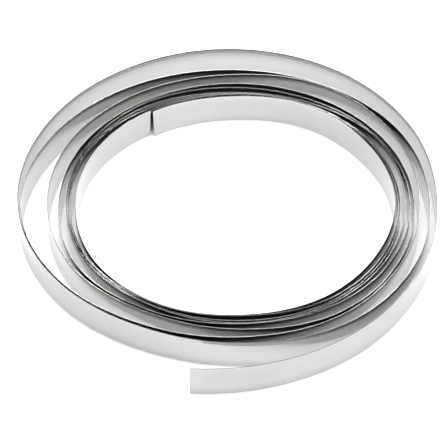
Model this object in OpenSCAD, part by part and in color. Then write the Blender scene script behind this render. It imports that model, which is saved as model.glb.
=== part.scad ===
// Coil of nickel strip, standing on its slit edge on a level floor.
// One length of thin flat strip, wound outward clockwise seen from above,
// held by nothing, so the laps have sprung apart and the tail stands off.
// Millimetres, +Z up. The origin is at the centre of the footprint, on the floor.

/* [Strip] */
// Width of the strip, which is the height of the coil on the floor
strip_w = 8; // [3:0.5:20]
// Thickness of the strip
strip_t = 0.15; // [0.05:0.01:0.5]

/* [Coil] */
// Radius of the innermost lap, the eye of the coil
eye_r = 38; // [20:0.5:80]
// Turns wound from the inner end to the end of the tail
turns = 8.62; // [3:0.01:8.7]
// How loosely the coil lies: every clear gap between laps is scaled by this
looseness = 1; // [0.4:0.05:2]
// Least clear gap kept where one lap lies against the next
lap_clear = 0.04; // [0.02:0.01:0.3]
// Bearing of the inner end, counter-clockwise from +X
inner_end_ang = 122.5; // [0:0.5:360]

/* [Hidden] */

// Winding is measured in degrees from the inner end. A station stands every
// 30 degrees, twelve to a lap, and each lap is set out from the lap inside it.
stn = 30;
lap_stns = 360 / stn;
// Degrees of winding between two points of the outline
step = 4;
total = turns * 360;

// How far the innermost lap stands off the eye radius at each station
eye_off = [-0.6, -0.8, 0.45, 0.05, 0.25, -0.3, -0.15, -0.55, 0.15, 0.35, -0.15, 0];
// The same for one station before the inner end, which sets its direction
eye_off_before = -0.1;

// Clear gap outside each lap at each station, one row for each lap
lap_gap = [
    [0.45, 0.8, 0.05, 0.5, 0.4, 1.15, 0.85, 0.1, 0.1, 0.65, 1.05, 1.2],
    [0.8, 0.1, 0.05, 0.2, 0.4, 0.5, 0.8, 1.4, 0.65, 0.1, 0.4, 0.3],
    [0.7, 0.1, 0.5, 1.8, 1.1, 0.6, 0.4, 0.6, 0.1, 0.4, 0.3, 0.5],
    [1.2, 1.8, 1.0, 0.3, 0.9, 1.0, 0.6, 0.05, 1.3, 2.4, 1.6, 1.1],
    [0.6, 1.4, 1.4, 0.7, 0.8, 1.5, 2.4, 1.55, 0.6, 0.9, 2.5, 3.2],
    [3.2, 3.1, 4.5, 3.2, 1.3, 0.5, 0.8, 2.2, 3.65, 4.65, 6.2, 4.6],
    [3.0, 1.8, 0.2, 1.4, 2.2, 2.9, 2.6, 1.75, 0.7, 0.35, 0.45, 3.2],
    [6.3, 8.0, 6.5, 3.4, 1.7, 1.7, 3.2, 7.05, 10.35, 12.0, 12.0, 12.0]
];

// Clear gap at a whole station, kept to the least gap
function gap_at(m) =
    let (k = floor(m / lap_stns), i = m - k * lap_stns)
    m < 0 ? eye_at(lap_stns - 1) - eye_off_before - strip_t
          : max(lap_clear, looseness * lap_gap[min(k, len(lap_gap) - 1)][i]);

// Offset of the innermost lap at a whole station, run on into the second lap
function eye_at(m) =
    m < 0 ? eye_off_before
          : m < lap_stns ? eye_off[m] : eye_off[m - lap_stns] + strip_t + gap_at(m - lap_stns);

// Smooth curve through four evenly spaced values, f from 0 to 1 across the middle pair
function blend(a, b, c, d, f) =
    b + f * ((c - a) + f * ((2 * a - 5 * b + 4 * c - d) + f * (3 * (b - c) + d - a))) / 2;

function eye_curve(w) =
    let (m = floor(w / stn), f = w / stn - m)
    blend(eye_at(m - 1), eye_at(m), eye_at(m + 1), eye_at(m + 2), f);

function gap_curve(w) =
    let (m = floor(w / stn), f = w / stn - m)
    max(lap_clear, blend(gap_at(m - 1), gap_at(m), gap_at(m + 1), gap_at(m + 2), f));

// Radius of the middle of the strip at winding w
function lap_r(w) =
    w < 360 ? eye_r + eye_curve(w) : lap_r(w - 360) + strip_t + gap_curve(w - 360);

function mid_point(w) =
    let (r = lap_r(w), a = inner_end_ang - w) [r * cos(a), r * sin(a)];

// Outward side direction of the strip, square to its run
function side_dir(i) =
    let (v = mids[min(i + 1, last)] - mids[max(i - 1, 0)]) [-v[1], v[0]] / norm(v);

windings = [for (w = [0:step:total - step / 2]) w, total];
mids = [for (w = windings) mid_point(w)];
last = len(mids) - 1;

outer_side = [for (i = [0:last]) mids[i] + side_dir(i) * strip_t / 2];
inner_side = [for (i = [last:-1:0]) mids[i] - side_dir(i) * strip_t / 2];
outline = concat(outer_side, inner_side);

// Centre of the footprint
xs = [for (p = outline) p[0]];
ys = [for (p = outline) p[1]];
centre = [(min(xs) + max(xs)) / 2, (min(ys) + max(ys)) / 2];

module nickel_strip()
    color([0.80, 0.79, 0.77])
        translate([-centre[0], -centre[1], 0])
            linear_extrude(height = strip_w)
                polygon(outline);

nickel_strip();
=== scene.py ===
import math

import bmesh
import bpy
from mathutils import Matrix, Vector


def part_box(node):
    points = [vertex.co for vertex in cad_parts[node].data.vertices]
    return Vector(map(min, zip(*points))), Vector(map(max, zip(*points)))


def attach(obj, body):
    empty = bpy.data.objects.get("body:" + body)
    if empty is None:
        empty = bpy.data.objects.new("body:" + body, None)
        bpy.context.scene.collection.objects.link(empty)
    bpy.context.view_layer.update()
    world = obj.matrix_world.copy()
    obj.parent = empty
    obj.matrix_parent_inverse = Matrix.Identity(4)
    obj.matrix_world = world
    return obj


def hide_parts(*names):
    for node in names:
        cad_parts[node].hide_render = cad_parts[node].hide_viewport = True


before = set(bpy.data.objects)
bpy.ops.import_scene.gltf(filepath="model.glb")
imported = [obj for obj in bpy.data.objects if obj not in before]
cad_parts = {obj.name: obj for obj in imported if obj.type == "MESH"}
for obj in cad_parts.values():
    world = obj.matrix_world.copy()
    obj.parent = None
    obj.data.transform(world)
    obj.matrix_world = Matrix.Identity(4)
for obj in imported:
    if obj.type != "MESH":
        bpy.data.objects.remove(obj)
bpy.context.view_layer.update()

# Everything is in metres. MM turns the maker's millimetres into metres.
MM = 0.001

STRIP_NODE = "nickel_strip"


# ---------------------------------------------------------------- camera

# The camera looks down on the coil from the tail's side, square on to X.
VIEW_ELEVATION = math.radians(44.5)
VIEW_DISTANCE = 580 * MM
LOOK_AT = Vector((-0.76, -4.75, 4.0)) * MM
# Width of the film and length of the lens, which Blender takes in millimetres.
FILM_WIDTH = 36.0
LENS_LENGTH = 196.1
# How near and how far the camera sees.
SEES_FROM = 10 * MM
SEES_TO = 10000 * MM


def add_camera():
    """A long lens on a stand in front of the coil."""
    back = math.cos(VIEW_ELEVATION) * VIEW_DISTANCE
    up = math.sin(VIEW_ELEVATION) * VIEW_DISTANCE
    bpy.ops.object.camera_add(
        location=LOOK_AT + Vector((0, -back, up)),
        rotation=(math.pi / 2 - VIEW_ELEVATION, 0, 0),
    )
    camera = bpy.context.object
    camera.name = "studio_camera"
    camera.data.sensor_width = FILM_WIDTH
    camera.data.lens = LENS_LENGTH
    camera.data.clip_start = SEES_FROM
    camera.data.clip_end = SEES_TO
    bpy.context.scene.camera = camera


add_camera()


# ---------------------------------------------------------------- hand tools

def pick(piece):
    """Leave one object selected, so an operator acts on it alone."""
    bpy.ops.object.select_all(action="DESELECT")
    piece.select_set(True)
    bpy.context.view_layer.objects.active = piece


def finish_with(piece, kind, name, **settings):
    """Add one modifier, set it and apply it."""
    pick(piece)
    modifier = piece.modifiers.new(name, kind)
    for key, value in settings.items():
        setattr(modifier, key, value)
    bpy.ops.object.modifier_apply(modifier=modifier.name)


def follow(knots, place):
    """Value at a place on a short list of (place, value) knots, eased between them."""
    if place <= knots[0][0]:
        return knots[0][1]
    for (near, near_value), (far, far_value) in zip(knots, knots[1:]):
        if place <= far:
            share = (place - near) / (far - near)
            ease = share * share * (3 - 2 * share)
            return near_value + ease * (far_value - near_value)
    return knots[-1][1]


# ---------------------------------------------------------------- the coil's run

# Corners nearer than this are one corner.
SAME_CORNER = 0.001 * MM
# Corners this far down still belong to the top slit edge.
TOP_SLACK = 0.01 * MM
# A face is level when its normal points up or down by more than this.
LEVEL_FROM = 0.5
# Steps of the guide between two of its knots.
GUIDE_STEPS = 8


def top_rim(node):
    """The outline of the top slit edge of the CAD solid: its corners, and each one's neighbours."""
    solid = bmesh.new()
    solid.from_mesh(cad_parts[node].data)
    bmesh.ops.remove_doubles(solid, verts=solid.verts, dist=SAME_CORNER)
    top_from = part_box(node)[1][2] - TOP_SLACK
    neighbours = {}
    for edge in solid.edges:
        a, b = edge.verts
        level_faces = [face for face in edge.link_faces if abs(face.normal.z) > LEVEL_FROM]
        if min(a.co.z, b.co.z) > top_from and len(level_faces) == 1:
            neighbours.setdefault(a.index, []).append(b.index)
            neighbours.setdefault(b.index, []).append(a.index)
    corners = {v.index: v.co.xy for v in solid.verts if v.index in neighbours}
    solid.free()
    return corners, neighbours


def walk(neighbours, start, away_from, count):
    """Corners in order along one side of the rim, starting away from a given neighbour."""
    path = [away_from, start]
    while len(path) <= count:
        ahead = [i for i in neighbours[path[-1]] if i != path[-2]]
        path.append(ahead[0])
    return path[1:]


def centre_line(node):
    """The middle of the strip from its inner end to its tail, and its thickness."""
    corners, neighbours = top_rim(node)
    rim_edges = [(a, b) for a in neighbours for b in neighbours[a]]
    # The shortest edge of the rim is a cut end, as long as the strip is thick.
    a, b = min(rim_edges, key=lambda edge: (corners[edge[0]] - corners[edge[1]]).length)
    count = len(corners) // 2
    sides = zip(walk(neighbours, a, b, count), walk(neighbours, b, a, count))
    line = [(corners[i] + corners[j]) / 2 for i, j in sides]
    middle = sum(line, Vector((0, 0))) / len(line)
    if (line[0] - middle).length > (line[-1] - middle).length:
        line.reverse()
    return line, (corners[a] - corners[b]).length


def coil_guide(line, level):
    """A smooth level curve for the strip to follow."""
    guide_data = bpy.data.curves.new("coil_guide", "CURVE")
    guide_data.dimensions = "3D"
    guide_data.twist_mode = "Z_UP"
    guide_data.resolution_u = GUIDE_STEPS
    spline = guide_data.splines.new("BEZIER")
    spline.bezier_points.add(len(line) - 1)
    for knot, point in zip(spline.bezier_points, line):
        knot.co = (point.x, point.y, level)
        knot.handle_left_type = "AUTO"
        knot.handle_right_type = "AUTO"
    guide = bpy.data.objects.new("coil_guide", guide_data)
    bpy.context.collection.objects.link(guide)
    return guide


# ---------------------------------------------------------------- node tools

# Roughness of every soft noise, and the middle stretch of it that is used.
NOISE_ROUGHNESS = 0.55
NOISE_MIDDLE = (0.3, 0.7)
# Numbers of the sockets of a Mix node that mixes colours, since their names aren't their own.
MIX_FIRST = 6
MIX_SECOND = 7
MIX_RESULT = 2


def wire(tree, source, target):
    """Join an output socket to an input socket."""
    tree.links.new(source, target)


def add_node(tree, kind, label, **settings):
    """One labelled node, with its own settings."""
    node = tree.nodes.new(kind)
    node.label = label
    for key, value in settings.items():
        setattr(node, key, value)
    return node


def dial(node, **values):
    """Set sockets by name. An underscore in a key stands for a space."""
    for key, value in values.items():
        node.inputs[key.replace("_", " ")].default_value = value


def spread(tree, value, label, found, wanted):
    """Turn one range of values into another, held at its ends."""
    stretch = add_node(tree, "ShaderNodeMapRange", label)
    dial(stretch, From_Min=found[0], From_Max=found[1], To_Min=wanted[0], To_Max=wanted[1])
    wire(tree, value, stretch.inputs["Value"])
    return stretch.outputs["Result"]


def noise_over(tree, place, label, detail):
    """Soft noise over a place, from 0 to 1."""
    noise = add_node(tree, "ShaderNodeTexNoise", label)
    dial(noise, Scale=1, Detail=detail, Roughness=NOISE_ROUGHNESS)
    wire(tree, place, noise.inputs["Vector"])
    return spread(tree, noise.outputs["Fac"], label + " spread", NOISE_MIDDLE, (0, 1))


def reckon(tree, label, operation, *values):
    """One sum on values: any of them may be a socket."""
    result = add_node(tree, "ShaderNodeMath", label, operation=operation)
    for value, socket in zip(values, result.inputs):
        if isinstance(value, bpy.types.NodeSocket):
            wire(tree, value, socket)
        else:
            socket.default_value = value
    return result.outputs["Value"]


def total_of(tree, label, first, second, share):
    """The first value, and a share of the second."""
    return reckon(tree, label, "MULTIPLY_ADD", second, share, first)


def scaled(tree, place, label, steps):
    """A place measured in other steps along each of its directions."""
    times = add_node(tree, "ShaderNodeVectorMath", label, operation="MULTIPLY")
    wire(tree, place, times.inputs[0])
    times.inputs[1].default_value = steps
    return times.outputs["Vector"]


def divided(tree, place, label, size):
    """A place measured in steps of a size that is itself a socket."""
    parts = add_node(tree, "ShaderNodeVectorMath", label, operation="DIVIDE")
    wire(tree, place, parts.inputs[0])
    wire(tree, size, parts.inputs[1])
    return parts.outputs["Vector"]


def place_in_coil(tree):
    """Where a point lies in the coil's own space, in millimetres."""
    coil = add_node(tree, "ShaderNodeTexCoord", "place in the coil")
    return scaled(tree, coil.outputs["Object"], "in millimetres", (1 / MM, 1 / MM, 1 / MM))


def new_group(name, inputs, outputs):
    """An empty shader group with values in and values out."""
    group = bpy.data.node_groups.new(name, "ShaderNodeTree")
    for label, usual in inputs.items():
        socket = group.interface.new_socket(label, in_out="INPUT", socket_type="NodeSocketFloat")
        socket.default_value = usual
    for label in outputs:
        group.interface.new_socket(label, in_out="OUTPUT", socket_type="NodeSocketFloat")
    return group, group.nodes.new("NodeGroupInput"), group.nodes.new("NodeGroupOutput")


def use_group(tree, group, **values):
    """One use of a group, with a material's own values."""
    used = add_node(tree, "ShaderNodeGroup", group.name, node_tree=group)
    dial(used, **values)
    return used


# ---------------------------------------------------------------- the metal

# What one reflection leaves of white light, where the face is clean and where it is hazed.
CLEAN_NICKEL = (0.56, 0.557, 0.551, 1)
HAZED_NICKEL = (0.52, 0.517, 0.511, 1)
# Roughness of the face, clean and hazed, and what the rolling lines add.
CLEAN_ROUGH = 0.10
HAZED_ROUGH = 0.16
LINES_ROUGHEN = 0.03
# Share of the rolled bands in the haze, and the totals at which a face is clean and hazed.
BANDS_IN_HAZE = 0.6
HAZE_TOTALS = (0.3, 1.3)

# Patterns, in millimetres. A rolling line is as wide as LINE_WIDTH on the faces and as
# SCORE_WIDTH on the slit edges, and a cloud of haze is finer on the slit edges too.
LINE_LENGTH = 30
LINE_WIDTH = 0.12
SCORE_WIDTH = 0.03
BAND_LENGTH = 90
BAND_WIDTH = 1.5
FACE_CLOUD = 30
EDGE_CLOUD = 4
WAVE_SIZE = 14
# How much fine detail each pattern has.
LINE_DETAIL = 3
BAND_DETAIL = 2
CLOUD_DETAIL = 4
WAVE_DETAIL = 1
# Depth of the rolling lines, of the broad waviness, and of the scores on the slit edges.
LINE_DEPTH = 0.0002 * MM
WAVE_DEPTH = 0.004 * MM
SCORE_DEPTH = 0.004 * MM

# Roughness of a slit edge, where it is clean and where it is hazed.
EDGE_ROUGH = (0.18, 0.26)
# How much of its grey a slit edge keeps in red, green and blue.
EDGE_TINT = (1, 0.995, 0.985)
# Brightness of a slit edge, painted light and shade: nearly black as a base, which paints the
# edges' shade, a painted highlight toward the outer lap, and a brighter painted highlight at the
# coil's left and right.
EDGE_SHADED_BASE = 0.08
EDGE_OUTER_HIGHLIGHT = 0.35
EDGE_SIDE_HIGHLIGHT = 0.6
# Millimetres from the coil's middle between which the painted highlight grows toward the outer lap.
OUTER_FROM = (40, 50)
# Between which shares of a lap's radius the painted side highlights begin, measured across the
# coil, and how far they reach round to the front and back.
SIDES_FROM = (0.78, 1)
SIDES_REACH = 0.35
# Share of that painted brightness, by millimetres from the inner end; the stretches with less are
# painted shade on the edges.
EDGE_LIGHT_AND_SHADE_ALONG = [
    (0, 1), (80, 1), (93, 0.05), (193, 0.05), (205, 1),
    (1940, 1), (1960, 0.3), (2095, 0.3), (2115, 1),
    (2245, 1), (2270, 0.1), (2310, 0.1),
]


def rolling_lines(length, width):
    """Lines that the mill's rolls leave along the strip: fine ones, and broad faint bands."""
    group, start, end = new_group("rolling_lines", {"Line Width": LINE_WIDTH}, ["Lines", "Bands"])
    flat = add_node(group, "ShaderNodeUVMap", "place on the flat stock")
    place = scaled(group, flat.outputs["UV"], "in millimetres", (length / MM, width / MM, 0))
    size = add_node(group, "ShaderNodeCombineXYZ", "length and width of a line")
    dial(size, X=LINE_LENGTH, Z=1)
    wire(group, start.outputs["Line Width"], size.inputs["Y"])
    in_lines = divided(group, place, "in lines", size.outputs["Vector"])
    in_bands = scaled(group, place, "in bands", (1 / BAND_LENGTH, 1 / BAND_WIDTH, 1))
    wire(group, noise_over(group, in_lines, "fine lines", LINE_DETAIL), end.inputs["Lines"])
    wire(group, noise_over(group, in_bands, "bands", BAND_DETAIL), end.inputs["Bands"])
    return group


def handling_haze():
    """Faint clouds left by handling, in the coil's own space, and a broad waviness."""
    group, start, end = new_group("handling_haze", {"Cloud Size": FACE_CLOUD}, ["Haze", "Waves"])
    place = place_in_coil(group)
    in_clouds = divided(group, place, "in clouds", start.outputs["Cloud Size"])
    in_waves = scaled(group, place, "in waves", (1 / WAVE_SIZE, 1 / WAVE_SIZE, 1 / WAVE_SIZE))
    wire(group, noise_over(group, in_clouds, "clouds", CLOUD_DETAIL), end.inputs["Haze"])
    wire(group, noise_over(group, in_waves, "waves", WAVE_DETAIL), end.inputs["Waves"])
    return group


def painted_edge_light():
    """Painted light on the slit edges by their place in the coil: a painted highlight on the outer
    laps and at the left and right.
    """
    group, _, end = new_group("painted_edge_light", {}, ["Brightness"])
    level = scaled(group, place_in_coil(group), "seen from above", (1, 1, 0))
    across = add_node(group, "ShaderNodeSeparateXYZ", "across the coil")
    wire(group, level, across.inputs["Vector"])
    radius = add_node(group, "ShaderNodeVectorMath", "from the middle", operation="LENGTH")
    wire(group, level, radius.inputs[0])
    # Painted highlight that grows toward the outer laps.
    laps = spread(group, radius.outputs["Value"], "outer laps", OUTER_FROM, (EDGE_SHADED_BASE, EDGE_OUTER_HIGHLIGHT))
    sideways = reckon(group, "left or right", "ABSOLUTE", across.outputs["X"])
    forward = reckon(group, "front or back", "ABSOLUTE", across.outputs["Y"])
    reach = total_of(group, "further round", sideways, forward, SIDES_REACH)
    share = reckon(group, "at any lap", "DIVIDE", reach, radius.outputs["Value"])
    # Painted highlight on the edges at the coil's left and right.
    sides = spread(group, share, "sides", SIDES_FROM, (0, EDGE_SIDE_HIGHLIGHT))
    wire(group, reckon(group, "the brighter", "MAXIMUM", laps, sides), end.inputs["Brightness"])
    return group


def bump_of(tree, shader, height, depth, under=None):
    """Relief of a given depth, over any relief under it."""
    bump = add_node(tree, "ShaderNodeBump", "relief")
    dial(bump, Strength=1, Distance=depth)
    wire(tree, height, bump.inputs["Height"])
    if under:
        wire(tree, under.outputs["Normal"], bump.inputs["Normal"])
    wire(tree, bump.outputs["Normal"], shader.inputs["Normal"])
    return bump


def bare_metal(name):
    """A metal material: its node tree and its shader."""
    metal = bpy.data.materials.new(name)
    metal.use_nodes = True
    shader = metal.node_tree.nodes["Principled BSDF"]
    dial(shader, Metallic=1)
    return metal, metal.node_tree, shader


def rolled_nickel(lines_group, haze_group):
    """The strip's faces: bright and nearly mirror-smooth, with rolling lines and faint haze."""
    metal, tree, shader = bare_metal("rolled_nickel")
    rolled = use_group(tree, lines_group, Line_Width=LINE_WIDTH)
    handled = use_group(tree, haze_group, Cloud_Size=FACE_CLOUD)
    dull = total_of(tree, "haze and bands", handled.outputs["Haze"], rolled.outputs["Bands"],
                    BANDS_IN_HAZE)
    haze = spread(tree, dull, "how hazed", HAZE_TOTALS, (0, 1))
    tone = add_node(tree, "ShaderNodeMix", "clean or hazed", data_type="RGBA")
    wire(tree, haze, tone.inputs["Factor"])
    tone.inputs[MIX_FIRST].default_value = CLEAN_NICKEL
    tone.inputs[MIX_SECOND].default_value = HAZED_NICKEL
    wire(tree, tone.outputs[MIX_RESULT], shader.inputs["Base Color"])
    soft = spread(tree, haze, "roughness", (0, 1), (CLEAN_ROUGH, HAZED_ROUGH))
    rough = total_of(tree, "with lines", soft, rolled.outputs["Lines"], LINES_ROUGHEN)
    wire(tree, rough, shader.inputs["Roughness"])
    waves = bump_of(tree, shader, handled.outputs["Waves"], WAVE_DEPTH)
    bump_of(tree, shader, rolled.outputs["Lines"], LINE_DEPTH, waves)
    return metal


def painted_light_along(tree, length):
    """The painted brightness of a slit edge along the strip, from its inner end, with stretches of
    painted shade.
    """
    flat = add_node(tree, "ShaderNodeUVMap", "place on the flat stock")
    along = add_node(tree, "ShaderNodeSeparateXYZ", "along the strip")
    wire(tree, flat.outputs["UV"], along.inputs["Vector"])
    shine = add_node(tree, "ShaderNodeValToRGB", "brightness along the strip")
    stops = shine.color_ramp.elements
    for i, (place, grey) in enumerate(EDGE_LIGHT_AND_SHADE_ALONG):
        stop = stops[i] if i < len(stops) else stops.new(1)
        stop.position = place * MM / length
        stop.color = [grey * tint for tint in EDGE_TINT] + [1]
    wire(tree, along.outputs["X"], shine.inputs["Fac"])
    return shine.outputs["Color"]


def slit_nickel(lines_group, haze_group, edge_light_group, length):
    """The slit edges and cut ends: rougher, scored along the strip, with painted highlights and
    painted shade in their colour.
    """
    metal, tree, shader = bare_metal("slit_nickel")
    scored = use_group(tree, lines_group, Line_Width=SCORE_WIDTH)
    handled = use_group(tree, haze_group, Cloud_Size=EDGE_CLOUD)
    edge_lit = use_group(tree, edge_light_group)
    # The edge's colour is painted light and shade: the painted highlights by place, times the
    # painted shade along the strip.
    tone = add_node(tree, "ShaderNodeMix", "painted edge light and shade", data_type="RGBA",
                    blend_type="MULTIPLY")
    dial(tone, Factor=1)
    wire(tree, painted_light_along(tree, length), tone.inputs[MIX_FIRST])
    wire(tree, edge_lit.outputs["Brightness"], tone.inputs[MIX_SECOND])
    wire(tree, tone.outputs[MIX_RESULT], shader.inputs["Base Color"])
    rough = spread(tree, handled.outputs["Haze"], "roughness", (0, 1), EDGE_ROUGH)
    wire(tree, rough, shader.inputs["Roughness"])
    bump_of(tree, shader, scored.outputs["Lines"], SCORE_DEPTH)
    return metal


# ---------------------------------------------------------------- the strip

# One division of the strip's length, and the divisions across its width.
DIVISION = 1.5 * MM
ACROSS = 6
# Round on the slit edges, its facets, and how sharp a corner is that gets it.
EDGE_ROUND = 0.035 * MM
ROUND_FACETS = 2
ROUNDED_FROM = math.radians(60)
# Faces that meet at less than this shade as one.
SMOOTH_TO = math.radians(40)
# Material slot of the slit edges. The faces have slot 0.
EDGE_SLOT = 1

# Where the strip leans: millimetres from the inner end, and how far its foot
# stands outward of its top edge there.
LEANS = [
    (0, -0.4), (8, -0.25), (15, 0),
    (1955, 0), (1970, -0.2), (1990, -0.2), (2003, 0),
    (2250, 0), (2280, 0.15), (2310, 0.3),
]


def flat_stock(length, width):
    """A flat length of strip along X from the origin, standing on its slit edge."""
    bpy.ops.object.select_all(action="DESELECT")
    bpy.ops.mesh.primitive_grid_add(
        x_subdivisions=round(length / DIVISION), y_subdivisions=ACROSS, size=1.0,
        location=(0.5, 0, 0), rotation=(math.pi / 2, 0, 0), calc_uvs=True,
    )
    stock = bpy.context.object
    bpy.ops.object.transform_apply(location=True, rotation=True, scale=True)
    bpy.ops.object.mode_set(mode="EDIT")
    bpy.ops.mesh.select_all(action="SELECT")
    bpy.ops.transform.resize(value=(length, 1, width), center_override=(0, 0, 0))
    bpy.ops.object.mode_set(mode="OBJECT")
    return stock


def lean(strip, width):
    """Push the foot of the flat strip out of upright, as LEANS says."""
    for corner in strip.data.vertices:
        below_top = (width / 2 - corner.co.z) / width
        corner.co.y += follow(LEANS, corner.co.x / MM) * MM * below_top


def make_strip(guide, length, width, thickness):
    """Flat stock cut to length, leaned, given its thickness and edges, and coiled."""
    strip = flat_stock(length, width)
    strip.name = "nickel_strip_wound"
    lean(strip, width)
    lines = rolling_lines(length, width)
    haze = handling_haze()
    strip.data.materials.append(rolled_nickel(lines, haze))
    strip.data.materials.append(slit_nickel(lines, haze, painted_edge_light(), length))
    finish_with(strip, "SOLIDIFY", "gauge", thickness=thickness, offset=0, use_rim=True,
                material_offset_rim=EDGE_SLOT)
    finish_with(strip, "BEVEL", "slit_edge", width=EDGE_ROUND, segments=ROUND_FACETS,
                limit_method="ANGLE", angle_limit=ROUNDED_FROM, material=EDGE_SLOT)
    finish_with(strip, "CURVE", "coiling", object=guide, deform_axis="POS_X")
    bpy.data.objects.remove(guide)
    pick(strip)
    bpy.ops.object.shade_smooth_by_angle(angle=SMOOTH_TO)
    return strip


line, thickness = centre_line(STRIP_NODE)
foot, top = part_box(STRIP_NODE)
width = top.z - foot.z
guide = coil_guide(line, foot.z + width / 2)
length = guide.data.splines[0].calc_length()
strip = make_strip(guide, length, width, thickness)
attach(strip, "root")
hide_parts(STRIP_NODE)


# ---------------------------------------------------------------- studio

WHITE = (1, 1, 1, 1)
# The floor is a matt light table: it glows evenly by itself.
FLOOR_SIZE = 6000 * MM
FLOOR_WHITE = (0.86, 0.86, 0.86, 1)
FLOOR_ROUGH = 0.9
FLOOR_GLOSS = 0.1
FLOOR_GLOW = 0.5
# Strength of the light that comes evenly from all round.
AIR_LIGHT = 0.04

# The softboxes all face the coil. Places and sides are in metres, powers in watts.
SOFTBOXES = [
    # name, place, side, power
    ("softbox_overhead", (0, 0, 0.9), 0.4, 4.4),
    ("softbox_back", (0, 1.1, 0.35), 0.5, 18.0),
    ("softbox_back_left", (-0.6, 0.75, 0.6), 0.4, 2.2),
    ("softbox_back_right", (0.6, 0.75, 0.6), 0.4, 2.7),
    ("softbox_left", (-0.7, 0, 0.6), 0.6, 1.8),
    ("softbox_right", (0.7, 0, 0.6), 0.6, 3.9),
]


def add_floor():
    """A wide matt white light table under the coil."""
    bpy.ops.object.select_all(action="DESELECT")
    bpy.ops.mesh.primitive_plane_add(size=FLOOR_SIZE, location=(0, 0, 0))
    floor = bpy.context.object
    floor.name = "studio_floor"
    paint = bpy.data.materials.new("floor_white")
    paint.use_nodes = True
    shader = paint.node_tree.nodes["Principled BSDF"]
    dial(shader, Base_Color=FLOOR_WHITE, Roughness=FLOOR_ROUGH, Specular_IOR_Level=FLOOR_GLOSS)
    dial(shader, Emission_Color=WHITE, Emission_Strength=FLOOR_GLOW)
    floor.data.materials.append(paint)


def add_air(strength):
    """Even light from all round, as in a white tent."""
    world = bpy.data.worlds.new("studio_air")
    world.use_nodes = True
    dial(world.node_tree.nodes["Background"], Color=WHITE, Strength=strength)
    bpy.context.scene.world = world


def add_softbox(name, place, size, power):
    """A square softbox that faces the middle of the coil."""
    bpy.ops.object.select_all(action="DESELECT")
    bpy.ops.object.light_add(type="AREA", location=place)
    box = bpy.context.object
    box.name = name
    box.data.shape = "SQUARE"
    box.data.size = size
    box.data.energy = power
    box.rotation_euler = (-Vector(place)).to_track_quat("-Z", "Y").to_euler()


add_floor()
add_air(AIR_LIGHT)
for softbox in SOFTBOXES:
    add_softbox(*softbox)
bpy.context.scene.view_settings.view_transform = "Standard"
